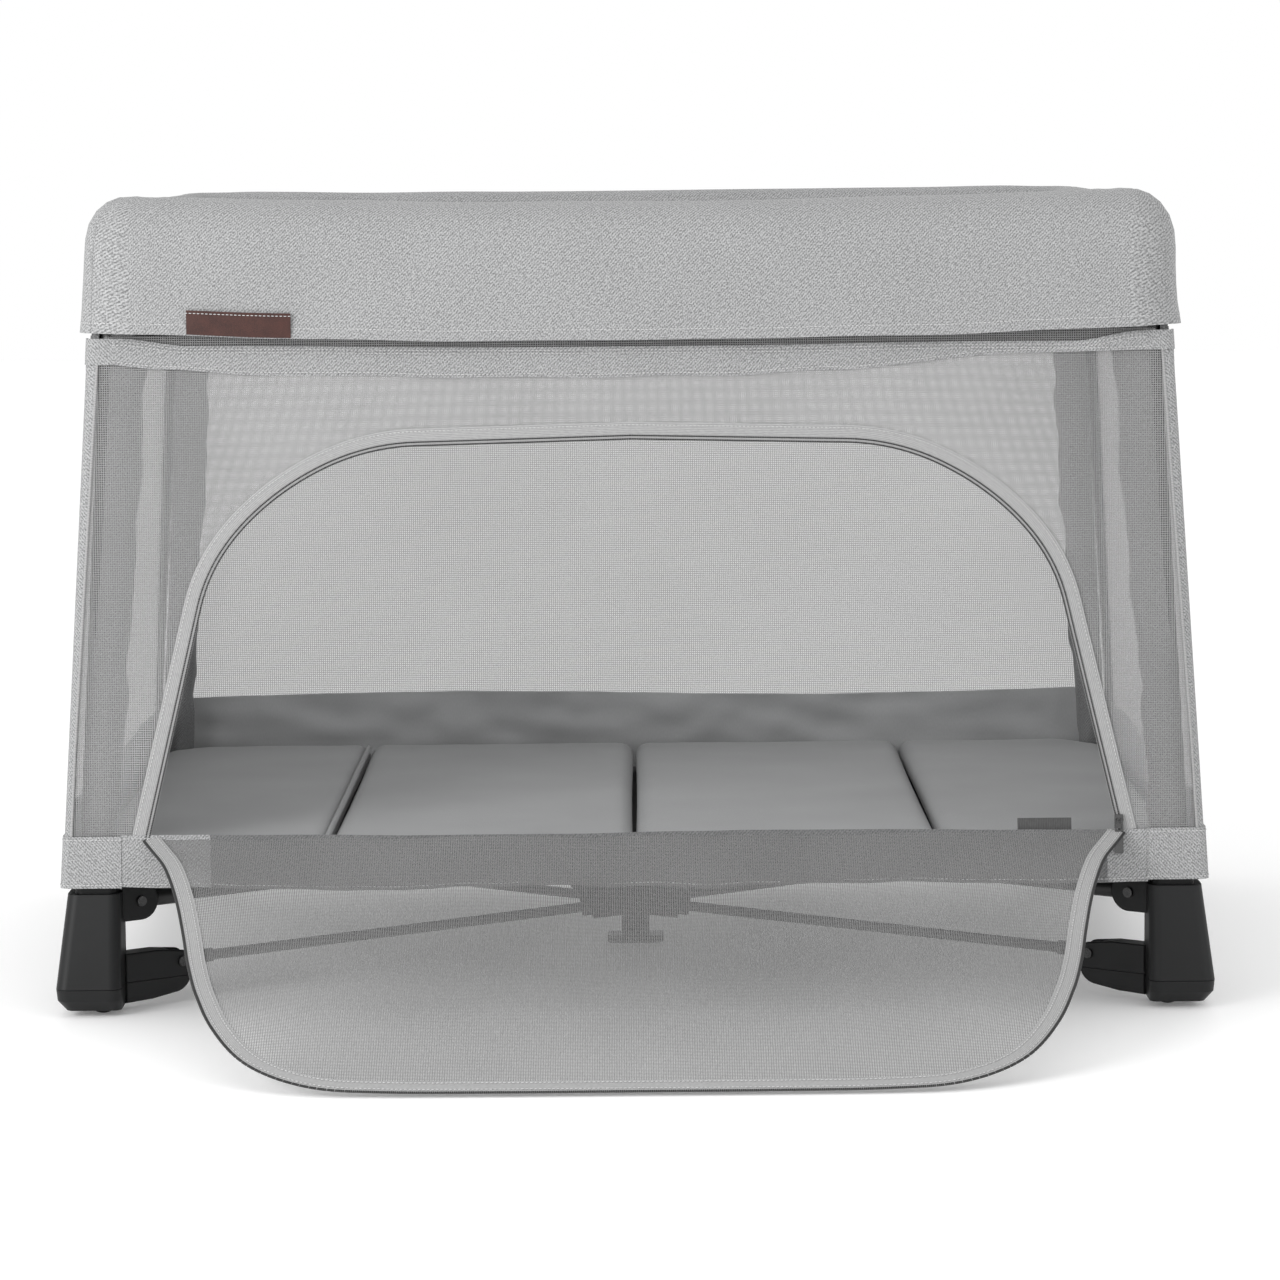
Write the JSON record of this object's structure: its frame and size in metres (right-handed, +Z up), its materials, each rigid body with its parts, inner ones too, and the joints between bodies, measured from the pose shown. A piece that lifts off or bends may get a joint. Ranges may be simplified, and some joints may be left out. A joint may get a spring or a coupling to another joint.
{
  "type": "folding playpen",
  "caption": "Folding playpen: padded top rails, see-through mesh walls, an arched zip-down door, a panelled floor mattress, and a hub-and-strut frame that folds upright.",
  "frame": {"origin": "on the floor, at the middle of the centre foot's underside, under the hub", "axes": "+Z up, +X along the length to the right, -Y to the front where the door is"},
  "size_m": [1.08, 1.0913, 0.762],
  "materials": {
    "black_plastic": "satin moulded nylon with a fine grain",
    "steel_pins": "zinc plated bolt heads",
    "zip_metal": "die-cast nickel-plated zip slider",
    "frame_tube": "dark grey powder coat",
    "wheel_plastic": "hard caster wheel",
    "glide_rubber": "soft non-slip pad",
    "mesh_fabric": "fine see-through polyester mesh",
    "cover_fabric": "light grey woven polyester over foam",
    "floor_fabric": "coated woven floor",
    "mattress_fabric": "smooth grey polyester over thin foam",
    "tag_leather": "brown embossed leather-look tag without marks"
  },
  "bodies": {
    "leg_fl": {"foot_fl": "black_plastic", "foot_cap_fl": "black_plastic", "leg_pins_fl": "steel_pins", "post_fl": "frame_tube", "top_corner_fl": "black_plastic", "front_wall": "mesh_fabric", "enclosure_walls": "mesh_fabric", "top_cover": "cover_fabric", "floor_panel": "floor_fabric", "label_tag": "tag_leather"},
    "leg_fr": {"foot_fr": "black_plastic", "foot_cap_fr": "black_plastic", "leg_pins_fr": "steel_pins", "post_fr": "frame_tube", "top_corner_fr": "black_plastic", "glide_fr": "glide_rubber"},
    "leg_rl": {"foot_rl": "black_plastic", "foot_cap_rl": "black_plastic", "leg_pins_rl": "steel_pins", "post_rl": "frame_tube", "top_corner_rl": "black_plastic"},
    "leg_rr": {"foot_rr": "black_plastic", "foot_cap_rr": "black_plastic", "leg_pins_rr": "steel_pins", "post_rr": "frame_tube", "top_corner_rr": "black_plastic", "glide_rr": "glide_rubber"},
    "lower_strut_fl": {"lower_strut_fl": "frame_tube"},
    "upper_strut_fl": {"upper_strut_fl": "frame_tube"},
    "long_rail_fl": {"long_rail_fl": "frame_tube"},
    "short_rail_fl": {"short_rail_fl": "frame_tube"},
    "lower_strut_fr": {"lower_strut_fr": "frame_tube"},
    "upper_strut_fr": {"upper_strut_fr": "frame_tube"},
    "long_rail_fr": {"long_rail_fr": "frame_tube"},
    "short_rail_fr": {"short_rail_fr": "frame_tube"},
    "lower_strut_rl": {"lower_strut_rl": "frame_tube"},
    "upper_strut_rl": {"upper_strut_rl": "frame_tube"},
    "long_rail_rl": {"long_rail_rl": "frame_tube"},
    "short_rail_rl": {"short_rail_rl": "frame_tube"},
    "lower_strut_rr": {"lower_strut_rr": "frame_tube"},
    "upper_strut_rr": {"upper_strut_rr": "frame_tube"},
    "long_rail_rr": {"long_rail_rr": "frame_tube"},
    "short_rail_rr": {"short_rail_rr": "frame_tube"},
    "hub": {"hub_housing": "black_plastic", "hub_cover": "black_plastic", "hub_pins": "steel_pins", "center_foot": "black_plastic"},
    "hinge_block_front": {"hinge_block_front": "black_plastic"},
    "hinge_block_rear": {"hinge_block_rear": "black_plastic"},
    "hinge_block_left": {"hinge_block_left": "black_plastic"},
    "hinge_block_right": {"hinge_block_right": "black_plastic"},
    "wheel_fl": {"wheel_fl": "wheel_plastic"},
    "wheel_rl": {"wheel_rl": "wheel_plastic"},
    "door_flap": {"door_flap": "mesh_fabric"},
    "mattress_1": {"mattress_1": "mattress_fabric"},
    "mattress_2": {"mattress_2": "mattress_fabric"},
    "mattress_3": {"mattress_3": "mattress_fabric"},
    "mattress_4": {"mattress_4": "mattress_fabric"},
    "zip_slider": {"zip_slider": "zip_metal"},
    "zip_pull": {"zip_pull": "zip_metal"}
  },
  "joints": [
    {"name": "fold", "type": "hinge", "parent": "leg_fl", "child": "lower_strut_fl", "pos_m": [-0.43501, -0.30347, 0.041], "axis": [0.5721, -0.8202, 0], "range_deg": [0, 80], "deforming": ["front_wall", "enclosure_walls", "top_cover", "floor_panel", "door_flap", "mattress_1", "mattress_2", "mattress_3", "mattress_4"]},
    {"name": "hub_level", "type": "hinge", "parent": "lower_strut_fl", "child": "hub", "pos_m": [-0.04002, -0.02792, 0.041], "axis": [0.5721, -0.8202, 0], "range_deg": [-80, 0]},
    {"name": "lower_fr", "type": "hinge", "parent": "hub", "child": "lower_strut_fr", "pos_m": [0.04002, -0.02792, 0.041], "axis": [0.5721, 0.8202, 0], "range_deg": [0, 80]},
    {"name": "leg_level_fr", "type": "hinge", "parent": "lower_strut_fr", "child": "leg_fr", "pos_m": [0.43501, -0.30347, 0.041], "axis": [0.5721, 0.8202, 0], "range_deg": [-80, 0]},
    {"name": "lower_rl", "type": "hinge", "parent": "hub", "child": "lower_strut_rl", "pos_m": [-0.04002, 0.02792, 0.041], "axis": [-0.5721, -0.8202, 0], "range_deg": [0, 80]},
    {"name": "leg_level_rl", "type": "hinge", "parent": "lower_strut_rl", "child": "leg_rl", "pos_m": [-0.43501, 0.30347, 0.041], "axis": [-0.5721, -0.8202, 0], "range_deg": [-80, 0]},
    {"name": "lower_rr", "type": "hinge", "parent": "hub", "child": "lower_strut_rr", "pos_m": [0.04002, 0.02792, 0.041], "axis": [-0.5721, 0.8202, 0], "range_deg": [0, 80]},
    {"name": "leg_level_rr", "type": "hinge", "parent": "lower_strut_rr", "child": "leg_rr", "pos_m": [0.43501, 0.30347, 0.041], "axis": [-0.5721, 0.8202, 0], "range_deg": [-80, 0]},
    {"name": "upper_fl", "type": "hinge", "parent": "hub", "child": "upper_strut_fl", "pos_m": [-0.07496, -0.05229, 0.103], "axis": [0.5721, -0.8202, 0], "range_deg": [0, 80]},
    {"name": "upper_fr", "type": "hinge", "parent": "hub", "child": "upper_strut_fr", "pos_m": [0.07496, -0.05229, 0.103], "axis": [0.5721, 0.8202, 0], "range_deg": [0, 80]},
    {"name": "upper_rl", "type": "hinge", "parent": "hub", "child": "upper_strut_rl", "pos_m": [-0.07496, 0.05229, 0.103], "axis": [-0.5721, -0.8202, 0], "range_deg": [0, 80]},
    {"name": "upper_rr", "type": "hinge", "parent": "hub", "child": "upper_strut_rr", "pos_m": [0.07496, 0.05229, 0.103], "axis": [-0.5721, 0.8202, 0], "range_deg": [0, 80]},
    {"name": "long_rail_fl_fold", "type": "hinge", "parent": "leg_fl", "child": "long_rail_fl", "pos_m": [-0.45, -0.322, 0.7], "axis": [0, 1, 0], "range_deg": [0, 80]},
    {"name": "short_rail_fl_fold", "type": "hinge", "parent": "leg_fl", "child": "short_rail_fl", "pos_m": [-0.478, -0.296, 0.7], "axis": [-1, 0, 0], "range_deg": [0, 80]},
    {"name": "long_rail_fr_fold", "type": "hinge", "parent": "leg_fr", "child": "long_rail_fr", "pos_m": [0.45, -0.322, 0.7], "axis": [0, -1, 0], "range_deg": [0, 80]},
    {"name": "short_rail_fr_fold", "type": "hinge", "parent": "leg_fr", "child": "short_rail_fr", "pos_m": [0.478, -0.296, 0.7], "axis": [-1, 0, 0], "range_deg": [0, 80]},
    {"name": "long_rail_rl_fold", "type": "hinge", "parent": "leg_rl", "child": "long_rail_rl", "pos_m": [-0.45, 0.322, 0.7], "axis": [0, 1, 0], "range_deg": [0, 80]},
    {"name": "short_rail_rl_fold", "type": "hinge", "parent": "leg_rl", "child": "short_rail_rl", "pos_m": [-0.478, 0.296, 0.7], "axis": [1, 0, 0], "range_deg": [0, 80]},
    {"name": "long_rail_rr_fold", "type": "hinge", "parent": "leg_rr", "child": "long_rail_rr", "pos_m": [0.45, 0.322, 0.7], "axis": [0, -1, 0], "range_deg": [0, 80]},
    {"name": "short_rail_rr_fold", "type": "hinge", "parent": "leg_rr", "child": "short_rail_rr", "pos_m": [0.478, 0.296, 0.7], "axis": [1, 0, 0], "range_deg": [0, 80]},
    {"name": "hinge_block_front_level", "type": "hinge", "parent": "long_rail_fl", "child": "hinge_block_front", "pos_m": [-0.055, -0.322, 0.7], "axis": [0, 1, 0], "range_deg": [-80, 0]},
    {"name": "hinge_block_rear_level", "type": "hinge", "parent": "long_rail_rl", "child": "hinge_block_rear", "pos_m": [-0.055, 0.322, 0.7], "axis": [0, 1, 0], "range_deg": [-80, 0]},
    {"name": "hinge_block_left_level", "type": "hinge", "parent": "short_rail_fl", "child": "hinge_block_left", "pos_m": [-0.478, -0.0205, 0.7], "axis": [-1, 0, 0], "range_deg": [-80, 0]},
    {"name": "hinge_block_right_level", "type": "hinge", "parent": "short_rail_fr", "child": "hinge_block_right", "pos_m": [0.478, -0.0205, 0.7], "axis": [-1, 0, 0], "range_deg": [-80, 0]},
    {"name": "wheel_fl_spin", "type": "hinge", "parent": "leg_fl", "child": "wheel_fl", "pos_m": [-0.499, -0.35, 0.015], "axis": [0, 1, 0], "continuous": true},
    {"name": "wheel_rl_spin", "type": "hinge", "parent": "leg_rl", "child": "wheel_rl", "pos_m": [-0.499, 0.35, 0.015], "axis": [0, 1, 0], "continuous": true},
    {"name": "door_hinge", "type": "hinge", "parent": "leg_fl", "child": "door_flap", "pos_m": [0, -0.3705, 0.167], "axis": [-1, 0, 0], "range_deg": [0, 119.86]},
    {"name": "mattress_lift", "type": "slide", "parent": "leg_fl", "child": "mattress_2", "axis": [0, 0, 1], "range_m": [0, 0.77]},
    {"name": "mattress_fold_left", "type": "hinge", "parent": "mattress_2", "child": "mattress_1", "pos_m": [-0.288, 0, 0.161], "axis": [0, 1, 0], "range_deg": [0, 178]},
    {"name": "mattress_fold_middle", "type": "hinge", "parent": "mattress_2", "child": "mattress_3", "pos_m": [0, 0, 0.161], "axis": [0, -1, 0], "range_deg": [0, 60]},
    {"name": "mattress_fold_right", "type": "hinge", "parent": "mattress_3", "child": "mattress_4", "pos_m": [0.288, 0, 0.161], "axis": [0, -1, 0], "range_deg": [0, 178]},
    {"name": "zip_slide", "type": "slide", "parent": "leg_fr", "child": "zip_slider", "axis": [-0.2305, 0.0654, 0.9709], "range_m": [0, 0.18]},
    {"name": "zip_pull_swing", "type": "hinge", "parent": "zip_slider", "child": "zip_pull", "pos_m": [0.45, -0.3763, 0.1765], "axis": [-1, 0, 0], "range_deg": [0, 150]}
  ],
  "couplings": [
    {"joint": "hub_level", "follows": "fold", "ratio": -1},
    {"joint": "lower_fr", "follows": "fold", "ratio": 1},
    {"joint": "leg_level_fr", "follows": "fold", "ratio": -1},
    {"joint": "lower_rl", "follows": "fold", "ratio": 1},
    {"joint": "leg_level_rl", "follows": "fold", "ratio": -1},
    {"joint": "lower_rr", "follows": "fold", "ratio": 1},
    {"joint": "leg_level_rr", "follows": "fold", "ratio": -1},
    {"joint": "upper_fl", "follows": "fold", "ratio": 1},
    {"joint": "upper_fr", "follows": "fold", "ratio": 1},
    {"joint": "upper_rl", "follows": "fold", "ratio": 1},
    {"joint": "upper_rr", "follows": "fold", "ratio": 1},
    {"joint": "long_rail_fl_fold", "follows": "fold", "ratio": 1},
    {"joint": "short_rail_fl_fold", "follows": "fold", "ratio": 1},
    {"joint": "long_rail_fr_fold", "follows": "fold", "ratio": 1},
    {"joint": "short_rail_fr_fold", "follows": "fold", "ratio": 1},
    {"joint": "long_rail_rl_fold", "follows": "fold", "ratio": 1},
    {"joint": "short_rail_rl_fold", "follows": "fold", "ratio": 1},
    {"joint": "long_rail_rr_fold", "follows": "fold", "ratio": 1},
    {"joint": "short_rail_rr_fold", "follows": "fold", "ratio": 1},
    {"joint": "hinge_block_front_level", "follows": "fold", "ratio": -1},
    {"joint": "hinge_block_rear_level", "follows": "fold", "ratio": -1},
    {"joint": "hinge_block_left_level", "follows": "fold", "ratio": -1},
    {"joint": "hinge_block_right_level", "follows": "fold", "ratio": -1},
    {"joint": "mattress_lift", "follows": "fold", "m_per_rad": 0.55}
  ]
}
